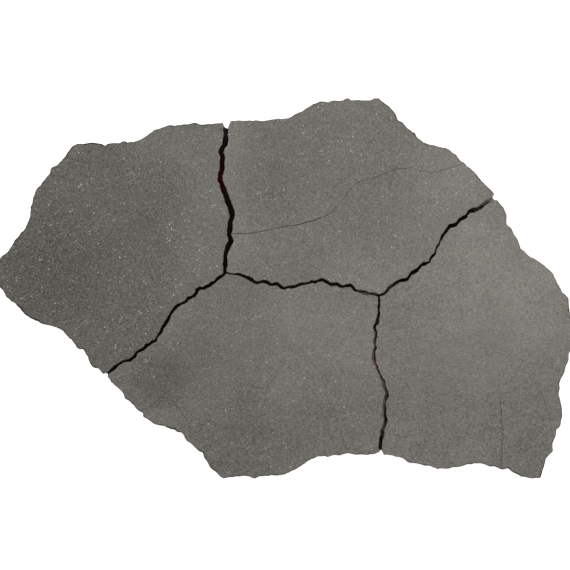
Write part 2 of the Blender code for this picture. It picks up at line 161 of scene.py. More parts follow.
# Where a crack's high wall stands off its general line: the middle, the reach, and the move at the middle.
NUDGES = {
    "left_piece": (
        ((-0.1019, 0.2285), 0.010, (0.0012, 0.0)),
        ((-0.1120, 0.0150), 0.014, (0.0007, -0.0014)),
        ((-0.1020, 0.2330), 0.014, (0.0008, 0.0)),
        ((-0.2650, -0.1169), 0.022, (0.0003, -0.0007)),
        ((-0.2011, -0.0713), 0.010, (0.0009, -0.0004)),
        ((-0.1819, -0.0361), 0.016, (0.0007, -0.0004)),
        ((-0.1611, -0.0193), 0.012, (0.0004, -0.0007)),
    ),
    "rear_piece": (
        ((0.1187, -0.0010), 0.013, (0.0, -0.0018)),
        ((0.1355, -0.0045), 0.016, (0.0, -0.0024)),
        ((0.1411, -0.0053), 0.008, (0.0, 0.0012)),
        ((-0.0908, 0.0462), 0.010, (0.0008, 0.0)),
        ((0.1683, 0.0014), 0.010, (-0.0005, 0.0005)),
        ((0.2458, 0.0742), 0.014, (0.0011, -0.0004)),
        ((0.2882, 0.1198), 0.009, (0.0008, -0.0010)),
        ((0.3250, 0.1398), 0.011, (-0.0003, 0.0008)),
        ((0.2418, 0.0606), 0.009, (0.0012, -0.0004)),
        ((0.2474, 0.0726), 0.008, (0.0009, -0.0004)),
        ((0.2650, 0.1014), 0.008, (-0.0003, 0.0011)),
        ((0.2770, 0.1081), 0.007, (0.0004, -0.0012)),
        ((0.2978, 0.1273), 0.006, (-0.0002, 0.0009)),
        ((0.3074, 0.1294), 0.007, (0.0, -0.0011)),
        ((0.2059, 0.0294), 0.008, (-0.0003, 0.0009)),
        ((0.2306, 0.0446), 0.007, (0.0003, -0.0012)),
        ((0.2151, 0.0353), 0.006, (0.0004, -0.0010)),
    ),
    "front_piece": (
        ((-0.1115, 0.0134), 0.014, (0.0007, -0.0014)),
        ((0.1139, -0.0058), 0.010, (0.0, -0.0012)),
        ((0.1379, -0.0090), 0.020, (0.0, -0.0019)),
        ((0.1425, -0.0601), 0.007, (-0.0010, 0.0)),
        ((0.1587, -0.1864), 0.016, (-0.0006, 0.0)),
        ((0.1491, -0.0370), 0.009, (0.0009, 0.0)),
        ((0.1459, -0.0825), 0.016, (-0.0013, 0.0)),
        ((0.1451, -0.1225), 0.014, (-0.0012, 0.0)),
        ((0.1603, -0.1593), 0.012, (-0.0009, 0.0)),
        ((-0.1955, -0.0737), 0.010, (0.0008, -0.0006)),
    ),
    "right_piece": (
        ((0.1467, -0.0865), 0.015, (-0.0018, 0.0)),
        ((0.1499, -0.1225), 0.014, (-0.0014, 0.0)),
        ((0.1683, 0.0014), 0.010, (-0.0010, 0.0010)),
        ((0.1515, -0.0521), 0.008, (0.0010, 0.0)),
        ((0.1475, -0.1127), 0.014, (-0.0014, 0.0)),
        ((0.1550, -0.1380), 0.014, (-0.0016, 0.0)),
        ((0.1612, -0.1560), 0.012, (-0.0012, 0.0)),
        ((0.1640, -0.1840), 0.014, (-0.0030, 0.0)),
        ((0.1651, -0.2056), 0.009, (-0.0012, 0.0)),
        ((0.1987, 0.0118), 0.008, (-0.0006, 0.0008)),
        ((0.2770, 0.1025), 0.008, (0.0006, -0.0009)),
        ((0.2914, 0.1132), 0.008, (0.0006, -0.0011)),
        ((0.3066, 0.1228), 0.009, (0.0, -0.0010)),
        ((0.2119, 0.0265), 0.007, (0.0004, -0.0007)),
        ((0.2275, 0.0377), 0.007, (0.0002, -0.0007)),
        ((0.2575, 0.0857), 0.009, (-0.0005, 0.0006)),
    ),
}

# Where the cracks open at the slab's edge, and how the low tongues are worn back there.
MOUTHS = (
    ((0.1550, -0.2620), (0.0, 0.0045)),
    ((0.3362, 0.1460), (-0.0030, -0.0024)),
    ((-0.0918, 0.2600), (0.0003, -0.0022)),
)
MOUTH_REACH = (0.003, 0.012)


# ---- noise on arrays of points ----

HASH_FACTORS = (374761393, 668265263, 2147483647, 1274126177)
HASH_MIXERS = (1103515245, 1911520717)
HASH_HALF = 32767.5  # half of the hash's highest value
LAYER_SEEDS = 17  # between the seeds of one layer of noise and the next
LAYER_FADE = 1.9  # how much weaker each finer layer is
CHIP_SHARPNESS = 3.2  # how quick the changes of a chipped edge are


def lattice_values(cell, seed):
    """A number from -1 to 1 for each cell corner, the same for the same corner and seed."""
    x, y, z, w = HASH_FACTORS
    h = cell[:, 0] * x + cell[:, 1] * y + cell[:, 2] * z + seed * w
    h = (h ^ (h >> 13)) * HASH_MIXERS[0] & 0x7FFFFFFF
    h = (h ^ (h >> 15)) * HASH_MIXERS[1] & 0x7FFFFFFF
    return ((h ^ (h >> 14)) & 0xFFFF) / HASH_HALF - 1.0


@dataclass
class Noise:
    """Smooth lumps from -1 to 1: their size, one number or three, and their seed."""

    lump: float | tuple
    seed: int

    def at(self, points):
        """The noise at each point."""
        scaled = points / np.asarray(self.lump, float)
        cell = np.floor(scaled).astype(np.int64)
        part = scaled - cell
        part = part * part * (3.0 - 2.0 * part)
        total = np.zeros(len(points))
        for corner in np.ndindex(2, 2, 2):
            weight = np.prod(np.where(corner, part, 1.0 - part), axis=1)
            total += weight * lattice_values(cell + np.array(corner), self.seed)
        return total

    def layered_at(self, points, layers):
        """The lumps with finer and weaker ones on them."""
        total = np.zeros(len(points))
        for layer in range(layers):
            finer = Noise(np.asarray(self.lump) / 2**layer, self.seed + layer * LAYER_SEEDS)
            total += finer.at(points) / LAYER_FADE**layer
        return total


def chipped(noise):
    """Noise with flat stretches and quick changes between them, as a chipped edge has."""
    return np.tanh(CHIP_SHARPNESS * noise)


def rising(span, values):
    """0 below the span, 1 above it, smooth between."""
    low, high = span
    part = np.clip((values - low) / (high - low), 0.0, 1.0)
    return part * part * (3.0 - 2.0 * part)


def falling(span, values):
    """1 below the span, 0 above it, smooth between."""
    return 1.0 - rising(span, values)


# ---- fine copies of the CAD solids ----

REFINE_REACH = 0.0026  # the facets this near a cut mark are made finer
REFINE_DEPTH = 0.006  # and no further than this below the slab's top


def vectors(mesh, kind):
    """The place, "co", or the direction, "normal", of each point of a mesh."""
    values = np.empty(len(mesh.vertices) * 3)
    mesh.vertices.foreach_get(kind, values)
    return values.reshape(-1, 3)


def fine_copy(node, name):
    """A copy of a CAD solid in small even facets, except for its hidden underside."""
    made = bpy.data.objects.new(name, node.data.copy())
    bpy.context.scene.collection.objects.link(made)
    remesh = made.modifiers.new("fine", "REMESH")
    remesh.mode = "VOXEL"
    remesh.voxel_size = VOXEL
    depsgraph = bpy.context.evaluated_depsgraph_get()
    mesh = bpy.data.meshes.new_from_object(made.evaluated_get(depsgraph), depsgraph=depsgraph)
    made.modifiers.clear()
    made.data = mesh
    mesh.name = name
    close_underside(mesh)
    return made


def close_underside(mesh):
    """Puts one flat face of large facets under the small ones."""
    work = bmesh.new()
    work.from_mesh(mesh)
    under = [face for face in work.faces if all(vert.co.z < UNDERSIDE for vert in face.verts)]
    bmesh.ops.delete(work, geom=under, context="FACES")
    for vert in work.verts:
        if vert.co.z < UNDERSIDE:
            vert.co.z = 0.0
    rim = [edge for edge in work.edges if edge.is_boundary]
    bmesh.ops.triangle_fill(work, use_beauty=True, use_dissolve=False, edges=rim, normal=(0, 0, -1))
    bmesh.ops.triangulate(work, faces=work.faces)
    pinched = [edge for edge in work.edges if len(edge.link_faces) > 2]  # the copy touches itself there
    bmesh.ops.collapse(work, edges=pinched)
    work.to_mesh(mesh)
    work.free()


def refine_along(mesh, marks):
    """Splits the facets beside the marks twice, so that they can be cut finely."""
    work = bmesh.new()
    work.from_mesh(mesh)
    for limit in (REFINE_REACH + VOXEL, REFINE_REACH):
        where = np.array([vert.co for vert in work.verts])
        near = (distance_to_marks(where, marks) < limit) & (where[:, 2] > SLAB_TOP - REFINE_DEPTH)
        work.verts.index_update()
        edges = [edge for edge in work.edges if near[edge.verts[0].index] and near[edge.verts[1].index]]
        bmesh.ops.subdivide_edges(work, edges=edges, cuts=1, use_grid_fill=True)
        bmesh.ops.triangulate(work, faces=work.faces)
    work.to_mesh(mesh)
    work.free()


# ---- distances ----

SAME_PLACE = 0.00001  # points nearer to each other than this are one
TOP_FACET = 0.9  # a facet whose normal points up more than this is on the riven top
SIDE_FACET = 0.85  # and one whose normal points up less than this is on a side
SLIVER = 3e-7  # a facet with less area than this, in square metres, says nothing about the rim
RIM_STEP = 0.0007  # between the points along a rim
RIM_DEPTH = 0.0024  # a point this far below the slab's top is past the rim
RIM_SLOPE = 2.0  # how much faster than its depth a point gets past the rim
RIM_NEIGHBOURS = 3  # points of the rim that say together on which side of it a point is
GROOVE_REACH = 0.0015  # a rim this near a fissure is the fissure's own
WALL_STEP = 0.004  # between the points on a solid's walls
WALL_STEPS = 12  # a longer edge than this many steps crosses a flat face


def distance_to_line(points, line):
    """The distance from each point to a line of straight stretches, seen from above."""
    nearest = np.full(len(points), FAR_OFF)
    for a, b in zip(line, line[1:]):
        a, b = np.array(a), np.array(b)
        along = np.clip((points[:, :2] - a) @ (b - a) / np.dot(b - a, b - a), 0.0, 1.0)
        gap = np.linalg.norm(points[:, :2] - (a + along[:, None] * (b - a)), axis=1)
        nearest = np.minimum(nearest, gap)
    return nearest


def distance_to_marks(points, marks):
    """The distance from each point to the nearest of the marks, FAR_OFF where there are none."""
    distances = [distance_to_line(points, mark.points) for mark in marks]
    return np.minimum.reduce([np.full(len(points), FAR_OFF), *distances])


def tree_of(points):
    """The points sorted for finding the nearest of them."""
    tree = kdtree.KDTree(len(points))
    for i, point in enumerate(points):
        tree.insert(point, i)
    tree.balance()
    return tree


def nearest_of(points, others):
    """The direction from each point to the nearest of the others, and how far off that is."""
    tree = tree_of(others)
    found = [tree.find(point) for point in points]
    far = np.array([distance for _, _, distance in found])
    towards = np.array([place[:] for place, _, _ in found]) - points
    return towards / np.maximum(far, SMALLEST)[:, None], far


def gap_to(points, nodes):
    """How far each point is from the nearest face of the CAD solids."""
    corners, faces = [], []
    for node in nodes:
        faces.extend([len(corners) + k for k in face.vertices] for face in node.data.polygons)
        corners.extend(vert.co[:] for vert in node.data.vertices)
    tree = BVHTree.FromPolygons(corners, faces)
    return np.array([tree.find_nearest(point)[3] for point in points])


def wall_points(node):
    """Points on the walls of a CAD solid, close enough together to measure from."""
    corners = vectors(node.data, "co")
    found = []
    for edge in node.data.edges:
        a, b = corners[edge.vertices[0]], corners[edge.vertices[1]]
        steps = max(1, int(np.linalg.norm(b - a) / WALL_STEP))
        if steps < WALL_STEPS:
            found.extend(a + (b - a) * k / steps for k in range(steps + 1))
    return np.array(found)


def rim_of(node, fissure):
    """Points along the rim of a CAD solid's riven top, not a fissure's, and the outward direction at each."""
    work = bmesh.new()
    work.from_mesh(node.data)
    bmesh.ops.remove_doubles(work, verts=work.verts, dist=SAME_PLACE)
    places, outward = [], []
    for edge in work.edges:
        up = [face for face in edge.link_faces if face.normal.z > TOP_FACET]
        side = [
            face for face in edge.link_faces if face.normal.z < SIDE_FACET and face.calc_area() > SLIVER
        ]
        if not up or not side:
            continue
        a, b = (vert.co for vert in edge.verts)
        steps = max(1, round((b - a).length / RIM_STEP))
        for k in range(steps):
            places.append(a.lerp(b, (k + 0.5) / steps))
            outward.append(side[0].normal.xy.normalized())
    work.free()
    places, outward = np.array(places), np.array(outward)
    clear = distance_to_marks(places, fissure) > GROOVE_REACH
    return places[clear], outward[clear]


def past_rim(points, rim):
    """How far each point is past the rim seen from above, in millimetres. It is below 0 on the top."""
    places, outward = rim
    tree = tree_of([(x, y, 0.0) for x, y, _ in places])
    past = (SLAB_TOP - RIM_DEPTH - points[:, 2]) * RIM_SLOPE
    for i in np.flatnonzero(past < RIM_DEPTH):
        x, y = points[i, :2]
        near = tree.find_n((x, y, 0.0), RIM_NEIGHBOURS)
        side = sum(
            (x - places[k, 0]) * outward[k, 0] + (y - places[k, 1]) * outward[k, 1] for _, k, _ in near
        )
        past[i] = max(past[i], math.copysign(near[0][2], side))
    return past * MILLIMETRES


# ---- the shape of the stone ----

# How much a point's normal points up, where a surface turns from a side into the riven top.
TOP_TURN = (0.35, 0.9)
TONGUE_TURN = (0.4, 0.6)  # the same where a low tongue's wall turns into its own top
WALL_TURN = (0.25, 0.75)  # the same, up or down, where a surface is no longer a wall
FACING_TURN = (0.2, 0.55)  # how much it points at the next piece, where a wall comes to face that

# How far off the next piece is, where a surface is no longer a crack's.
CRACK_REACH = (0.0105, 0.0135)
CRACK_WANDER_REACH = (0.009, 0.018)

# The heights, near the weak bed half-way down, from the low walls of a crack to its high ones.
TONGUE_FADE = (0.0115, 0.0135)
NUDGE_FADE = (0.0115, 0.0150)
MOUTH_FADE = (0.0130, 0.0150)
TONGUE_TOP = (0.018, 0.022)  # a surface higher than this isn't a tongue's top
FOOT = (0.0, 0.001)  # over these heights the wander fades to nothing at the underside

TONGUE = 0.0010  # how far the low tongues beside a crack reach past the CAD's
CLEAR = 0.00025  # what each wall keeps from the middle of a crack, as the CAD has it

# Kinds of unevenness in the stone.
LAMINAE = Noise((0.022, 0.022, 0.0034), 3)  # the thin sheets that show at a split edge
NIBBLES = Noise((0.0050, 0.0050, 0.006), 11)
GRIT = Noise(0.0026, 23)
SWELLS = Noise(0.028, 31)
RIPPLES = Noise(0.0052, 43)
SCALES = Noise((0.05, 0.036, 1.0), 57)  # flat flakes that have come off
FAINTNESS = Noise(0.011, 71)  # where a mark is fainter

# How deep a riven face is below the CAD's: everywhere, and with each kind of unevenness.
FACE_DEPTH = 0.00022
SWELL_DEPTH = 0.00012
RIPPLE_DEPTH = 0.00006
SCALE_DEPTH = 0.00009
SCALE_EDGE = (0.1, 0.18)  # of the noise, at a flake's edge

# A mark's strength, how much that varies, and the part of its half-width over which it fades.
MARK_STRENGTH = 0.78
MARK_FAINTNESS = 0.22
MARK_FADE = (0.3, 1.0)

# The sideways wander of every edge: its broad, fine and chipped lumps along x, then along y, and how far
# each kind moves a point.
WANDER = (
    (Noise(0.0090, 101), Noise(0.0050, 102), Noise(0.0062, 109)),
    (Noise(0.0090, 202), Noise(0.0050, 203), Noise(0.0062, 210)),
)
BROAD_WANDER = 0.00080
FINE_WANDER = 0.00060
CHIPPED_WANDER = 0.00045
WANDER_SQUASH = (1.0, 1.0, 0.25)  # it changes more slowly up a wall than along it


@dataclass
class Break:
    """How far a wall goes in from the CAD's: everywhere, and with each kind of unevenness."""

    inwards: float
    laminae: float
    nibbles: float
    grit: float

    def at(self, laminae, nibbles, grit):
        """How far the wall goes in where the three kinds of unevenness are these."""
        return self.inwards + self.laminae * laminae + self.nibbles * nibbles + self.grit * grit


SPLIT_EDGE = Break(inwards=-0.00060, laminae=0.00058, nibbles=0.00045, grit=0.00020)
CRACK_WALL = Break(inwards=0.0, laminae=0.00012, nibbles=0.00050, grit=0.00040)


def crack_walls(points, normals, others):
    """From 0 to 1, how much each point is on a crack's wall, and how near a crack it is."""
    towards, far = nearest_of(points, np.concatenate([wall_points(other) for other in others]))
    faces_other = rising(FACING_TURN, (normals * towards).sum(axis=1))
    tongue_top = rising(TONGUE_TURN, normals[:, 2]) * falling(TONGUE_TOP, points[:, 2])
    crack_side = falling(CRACK_REACH, far) * np.maximum(faces_other, tongue_top)
    return crack_side, falling(CRACK_WANDER_REACH, far)


def moves_inwards(points, normals, crack_side, others):
    """How far each point of a wall goes in, so that the walls of a crack stay clear of each other."""
    laminae, nibbles, grit = LAMINAE.at(points), NIBBLES.at(points), GRIT.at(points)
    split = SPLIT_EDGE.at(laminae, nibbles, grit)
    broken = CRACK_WALL.at(laminae, chipped(nibbles), grit) - TONGUE * falling(TONGUE_FADE, points[:, 2])
    wall = falling(WALL_TURN, np.abs(normals[:, 2]))
    inwards = wall * (split + (broken - split) * crack_side)
    return np.maximum(inwards, wall * (CLEAR - gap_to(points, others) / 2))


def face_depth(points):
    """How deep the riven face is at each point."""
    flat = points * FLAT
    swells = SWELLS.layered_at(flat, layers=3)
    ripples = RIPPLES.layered_at(flat, layers=2)
    scales = rising(SCALE_EDGE, SCALES.at(flat))
    return FACE_DEPTH + SWELL_DEPTH * swells + RIPPLE_DEPTH * ripples + SCALE_DEPTH * scales


def mark_lines(points, facing_up, marks):
    """How deep the marks are cut at each point, and how dark and how light they are there."""
    cut, dark, light = (np.zeros(len(points)) for _ in range(3))
    strength = MARK_STRENGTH + MARK_FAINTNESS * FAINTNESS.at(points * FLAT)
    for mark in marks:
        away = distance_to_line(points, mark.points)
        line = facing_up * strength * falling(MARK_FADE, away / mark.half_width)
        cut = np.maximum(cut, line * mark.depth)
        if mark.tone < 0.0:
            dark = np.maximum(dark, -mark.tone * line)
        else:
            light = np.maximum(light, mark.tone * line)
    return cut, dark, light


def wander(points, near_crack):
    """The small sideways wander of every edge, more near a crack. Both walls of a crack take the same."""
    squat = points * WANDER_SQUASH
    moves = np.zeros((len(points), 3))
    for axis, (broad, fine, chips) in enumerate(WANDER):
        small = fine.at(squat) * FINE_WANDER + chipped(chips.at(squat)) * CHIPPED_WANDER * near_crack
        moves[:, axis] = BROAD_WANDER * broad.at(squat) + small
    return moves


def pulled(points, heights, middle, reach, move):
    """How far each point goes with a pull that is strongest at its middle. heights is its share by height."""
    near = falling(reach, np.hypot(points[:, 0] - middle[0], points[:, 1] - middle[1]))
    return (heights * near)[:, None] * move


def weather(made, rim, others, marks, nudges, box):
    """Moves a fine copy's points into riven faces and laminated split edges, and marks the crack walls.

    others are the CAD solids of the other pieces. The points stay in the box, its low and high corners."""
    mesh = made.data
    refine_along(mesh, [mark for mark in marks if mark.depth > 0.0])
    points = vectors(mesh, "co")
    normals = vectors(mesh, "normal")
    past = past_rim(points, rim)
    facing_up = rising(TOP_TURN, normals[:, 2])
    crack_side, near_crack = crack_walls(points, normals, others)
    inwards = moves_inwards(points, normals, crack_side, others)
    cut, dark, light = mark_lines(points, facing_up, marks)
    depth = np.maximum(face_depth(points) + cut, 0.0)

    outward = normals * FLAT
    outward /= np.maximum(np.linalg.norm(outward, axis=1), SMALLEST)[:, None]
    points -= outward * inwards[:, None]
    points[:, 2] -= facing_up * depth
    points += wander(points, near_crack) * rising(FOOT, points[:, 2])[:, None]
    high = rising(NUDGE_FADE, points[:, 2])
    for middle, reach, move in nudges:
        points[:, :2] += pulled(points, high, middle, (0.0, reach), move)
    points = np.clip(points, *box)
    low = falling(MOUTH_FADE, points[:, 2])
    for middle, move in MOUTHS:
        points[:, :2] += pulled(points, low, middle, MOUTH_REACH, move)

    mesh.vertices.foreach_set("co", points.ravel())
    layers = {"past_rim": past, "crack_side": crack_side, "dark_line_and_groove_shade": dark, "light_line": light}
    for name, values in layers.items():
        layer = mesh.attributes.new(name, "FLOAT", "POINT")
        layer.data.foreach_set("value", np.asarray(values, np.float32))
    mesh.shade_smooth()
    mesh.update()


# ---- shader maths ----


class Value:
    """A socket of a shader, so that maths on it adds the nodes."""

    def __init__(self, shader, socket):
        self.shader = shader
        self.socket = socket

    def _math(self, operation, *values):
        return self.shader.node("ShaderNodeMath", {"operation": operation}, dict(enumerate(values)))

    def __add__(self, other):
        return self._math("ADD", self, other)

    __radd__ = __add__

    def __sub__(self, other):
        return self._math("SUBTRACT", self, other)

    def __rsub__(self, other):
        return self._math("SUBTRACT", other, self)

    def __mul__(self, other):
        return self._math("MULTIPLY", self, other)

    __rmul__ = __mul__

    def __pow__(self, other):
        return self._math("POWER", self, other)

    def clamped(self):
        """Kept from 0 to 1."""
        return self.shader.node("ShaderNodeClamp", {}, {"Value": self})

    def centred(self):
        """Noise less its average."""
        return self - 0.5

    def rising(self, span):
        """0 below the span, 1 above it, smooth between."""
        low, high = span
        return self.shader.node(
            "ShaderNodeMapRange",
            {"interpolation_type": "SMOOTHSTEP"},
            {"Value": self, "From Min": low, "From Max": high},
        )

    def falling(self, span):
        """1 below the span, 0 above it, smooth between."""
        return 1.0 - self.rising(span)


@dataclass
class Texture:
    """A noise texture: lumps in a metre, how many finer layers it has, and how strong those are."""

    scale: float
    detail: float
    roughness: float


class Shader:
    """A material built from values, with its Principled shader at the end."""

    def __init__(self, name):
        self.material = bpy.data.materials.new(name)
        self.material.use_nodes = True
        self.tree = self.material.node_tree
        self.surface = self.tree.nodes["Principled BSDF"]

    def node(self, kind, settings, sockets, output=0):
        """Adds a node: its settings first, then the values or links of its sockets."""
        added = self.tree.nodes.new(kind)
        for key, value in settings.items():
            setattr(added, key, value)
        for key, value in sockets.items():
            self.feed(added.inputs[key], value)
        return Value(self, added.outputs[output])

    def feed(self, socket, value):
        if isinstance(value, Value):
            self.tree.links.new(value.socket, socket)
        else:
            socket.default_value = value

    def surfaced(self, sockets):
        """The material, with the values or links of the Principled shader's sockets."""
        for key, value in sockets.items():
            self.feed(self.surface.inputs[key], value)
        return self.material

    def blend(self, factor, first, second):
        """The first colour where the factor is 0, the second where it is 1. Colours are sockets 6 and 7."""
        return self.node("ShaderNodeMix", {"data_type": "RGBA"}, {0: factor, 6: first, 7: second}, output=2)

    def place(self, stretch=(1.0, 1.0, 1.0), turn=0.0):
        """Where a point is on the slab, in metres, stretched and turned about Z."""
        where = self.node("ShaderNodeTexCoord", {}, {}, output=3)
        return self.node(
            "ShaderNodeMapping",
            {"vector_type": "POINT"},
            {"Vector": where, "Scale": stretch, "Rotation": (0.0, 0.0, turn)},
        )

    def noise(self, where, texture):
        return self.node(
            "ShaderNodeTexNoise",
            {"noise_dimensions": "3D"},
            {
                "Vector": where,
                "Scale": texture.scale,
                "Detail": texture.detail,
                "Roughness": texture.roughness,
            },
        )

    def layer(self, name):
        """The values that the mesh has under this name."""
        return self.node("ShaderNodeAttribute", {"attribute_name": name}, {}, output=2)

    def spot(self, plan, middle, radius, fade):
        """1 within the radius of a place seen from above, fading to 0 beyond it."""
        far = self.node(
            "ShaderNodeVectorMath",
            {"operation": "DISTANCE"},
            {0: plan, 1: (*middle, 0.0)},
            output=1,
        )
        return far.falling((radius, radius + fade))


# ---- the slate's colours, in linear light ----

SLATE_DARK = (0.020, 0.0182, 0.0150, 1.0)
SLATE_LIGHT = (0.300, 0.285, 0.257, 1.0)
MICA = (0.50, 0.49, 0.46, 1.0)
SCRATCH_PALE = (0.36, 0.35, 0.32, 1.0)
# The black of the crack walls, the fissure and the dark streaks: partly the dark stone's and the streaks' own
# colour, partly painted shade in the cracks and the fissure's groove.
SHADE_AND_STREAK_BLACK = (0.0245, 0.0205, 0.0175, 1.0)
CRACK_SILT = (0.072, 0.056, 0.044, 1.0)
CRACK_GREY = (0.42, 0.40, 0.37, 1.0)
CRACK_COLD = (0.050, 0.046, 0.054, 1.0)
CRACK_CLAY = (0.260, 0.240, 0.215, 1.0)
CRACK_DUST = (0.190, 0.143, 0.126, 1.0)
IRON_RED = (0.088, 0.001, 0.014, 1.0)
IRON_BROWN = (0.205, 0.098, 0.088, 1.0)

# Stains and dust on the walls of the cracks, and spots of black painted shade, later ones on top of earlier
# ones: middle, radius and fade in metres, the height that each reaches up to, and the colour.
STAINS_AND_SHADE_SPOTS = (
    ((0.0140, 0.0040), 0.100, 0.020, 0.0300, CRACK_SILT),
    ((0.1500, -0.1350), 0.108, 0.008, 0.0290, CRACK_DUST),
    ((0.1440, -0.1100), 0.012, 0.010, 0.0290, IRON_BROWN),
    ((0.1520, -0.0265), 0.014, 0.010, 0.0300, CRACK_SILT),
    # Black spots of painted shade at the bends of the crack between the front and right pieces, and where it
    # opens at the front edge.
    ((0.1459, -0.0593), 0.002, 0.003, 0.0300, SHADE_AND_STREAK_BLACK),
    ((0.1462, -0.0961), 0.002, 0.003, 0.0300, SHADE_AND_STREAK_BLACK),
    ((0.1520, -0.1337), 0.002, 0.003, 0.0300, SHADE_AND_STREAK_BLACK),
    ((0.1640, -0.1720), 0.001, 0.003, 0.0300, SHADE_AND_STREAK_BLACK),
    ((0.1619, -0.2104), 0.002, 0.003, 0.0300, SHADE_AND_STREAK_BLACK),
    ((0.1563, -0.2568), 0.016, 0.008, 0.0300, SHADE_AND_STREAK_BLACK),
    ((-0.0995, 0.1829), 0.020, 0.020, 0.0240, IRON_RED),
    ((-0.0940, 0.2430), 0.008, 0.008, 0.0240, CRACK_COLD),
    ((0.1379, -0.0082), 0.010, 0.004, 0.0265, CRACK_GREY),
    ((0.1667, -0.0010), 0.007, 0.006, 0.0260, CRACK_CLAY),
    ((0.1595, -0.2216), 0.005, 0.005, 0.0290, CRACK_CLAY),
    ((0.3290, 0.1390), 0.008, 0.006, 0.0290, CRACK_CLAY),
    ((0.3154, 0.1318), 0.008, 0.006, 0.0280, CRACK_DUST),
)

# Broad patches of darker or lighter tone: middle, radius and fade in metres, and the tone added. They hold
# the stone's own tone and painted light and shade together, among them a painted highlight on the rear
# piece's right rim and lighter bands along the cracks.
TONE_AND_LIGHT_PATCHES = {
    "left_piece": (
        ((-0.3785, 0.0246), 0.020, 0.130, -0.070),
        ((-0.1120, 0.2050), 0.025, 0.075, 0.110),
        ((-0.1120, 0.0950), 0.025, 0.075, 0.100),
        ((-0.1339, -0.0026), 0.020, 0.075, 0.075),
        ((-0.2059, 0.2453), 0.020, 0.060, 0.085),
    ),
    "rear_piece": (
        ((-0.1120, 0.2050), 0.025, 0.075, 0.060),
        ((-0.1120, 0.0950), 0.025, 0.075, 0.070),
        ((-0.0220, 0.2000), 0.020, 0.090, -0.035),
        ((-0.0300, 0.1414), 0.020, 0.070, -0.025),
        ((0.1299, 0.0134), 0.030, 0.070, 0.060),
        ((0.2258, 0.0614), 0.020, 0.060, 0.065),
        # a painted highlight where light catches the rear piece's right rim
        ((0.2600, 0.1970), 0.020, 0.085, 0.090),
        ((0.2978, 0.1414), 0.030, 0.090, 0.065),
    ),
    "front_piece": (
        ((-0.2027, -0.1465), 0.015, 0.060, -0.100),
        ((-0.1499, -0.1225), 0.020, 0.070, -0.050),
        ((-0.0700, -0.2700), 0.030, 0.110, -0.080),
        ((0.0740, -0.2424), 0.030, 0.060, -0.040),
        ((0.0260, -0.0985), 0.030, 0.080, 0.030),
        ((0.0260, -0.0106), 0.030, 0.060, 0.055),
        ((0.1299, -0.0825), 0.020, 0.080, 0.060),
    ),
    "right_piece": (
        ((0.2750, 0.0350), 0.030, 0.100, 0.080),
        ((0.3700, 0.0750), 0.040, 0.080, 0.080),
        ((0.3298, -0.0665), 0.030, 0.080, 0.050),
        ((0.4257, -0.0185), 0.030, 0.090, 0.100),
        ((0.2178, -0.2104), 0.030, 0.090, -0.045),
        ((0.4020, -0.2660), 0.020, 0.140, -0.050),
    ),
}


@dataclass
class Look:
    """How one piece's slate differs from that of its neighbours."""

    lightness: float  # from 0 to 1
    specks: float  # how strongly its mica shows
    grit: float  # how strongly its grain shows
    swirl: float  # how strongly its clouds show


LOOKS = {
    "left_piece": Look(0.302, 1.10, 1.06, 0.28),
    "rear_piece": Look(0.434, 0.90, 1.06, 0.54),
    "front_piece": Look(0.416, 0.84, 0.98, 0.80),
    "right_piece": Look(0.466, 0.45, 1.17, 0.92),
}

# The riven face: its clouds, streaks, grain and mottle, and how much each changes the tone.
CLOUDS = Texture(11.0, 5.0, 0.6)
CLOUD_TONE = 0.22
STREAKS = Texture(22.0, 3.0, 0.55)
STREAK_TONE = 0.14
STREAK_STRETCH = (1.0, 2.4, 1.0)
STREAK_TURN = math.radians(-38)
GRAIN = Texture(470.0, 1.0, 0.6)
GRAIN_TONE = 0.70
MOTTLE = Texture(190.0, 2.0, 0.55)
MOTTLE_TONE = 0.32

# The split edges: their darker and lighter laminae, and the shade in stretches just under the rim.
RIM_BLUR = (-0.35, 0.35)  # millimetres past the rim, where the colour of the riven top ends
STRATA = Texture(1.0, 3.0, 0.6)
STRATA_STRETCH = (18.0, 18.0, 420.0)
STRATA_TONE = 0.58
SPLIT_SHADE = 0.09
UNDER_RIM = (0.0255, 0.0275)
RIM_SHADE = 0.26
RIM_SHADE_PLACES = Texture(34.0, 2.0, 0.5)
RIM_SHADE_SPAN = (0.35, 0.62)

# Mica: flecks in two sizes as flecks in a metre, rarity and strength, thicker in some places than in others.
FLECKS = ((290.0, 10.0, 1.0), (430.0, 6.0, 0.6))
FLECK_EDGE = (0.08, 0.44)
MICA_PLACES = Texture(42.0, 2.0, 0.5)
MICA_SPAN = (0.40, 0.62)
MICA_LEAST = 0.45
MICA_MORE = 0.75
MICA_LOST_ON_SPLIT = 0.6

SPOT_FADE = 0.003  # the height over which each of the stains and the spots of painted shade ends
CRACK_DARK_MOTTLE = 0.60  # how strongly the mottle takes the stains back to the crack walls' black, which is partly painted shade
CRACK_DARK_MOTTLE_SPAN = (0.42, 0.66)

# The finest unevenness, which the shape doesn't have, and the stone's matt surface.
BUMP_STRENGTH = 0.30
BUMP_HEIGHT = 0.0006
GRAIN_BUMP = 0.4
MOTTLE_BUMP = 0.6
ROUGHNESS = 0.80
GRAIN_ROUGHNESS = 0.3
SPECULAR = 0.14


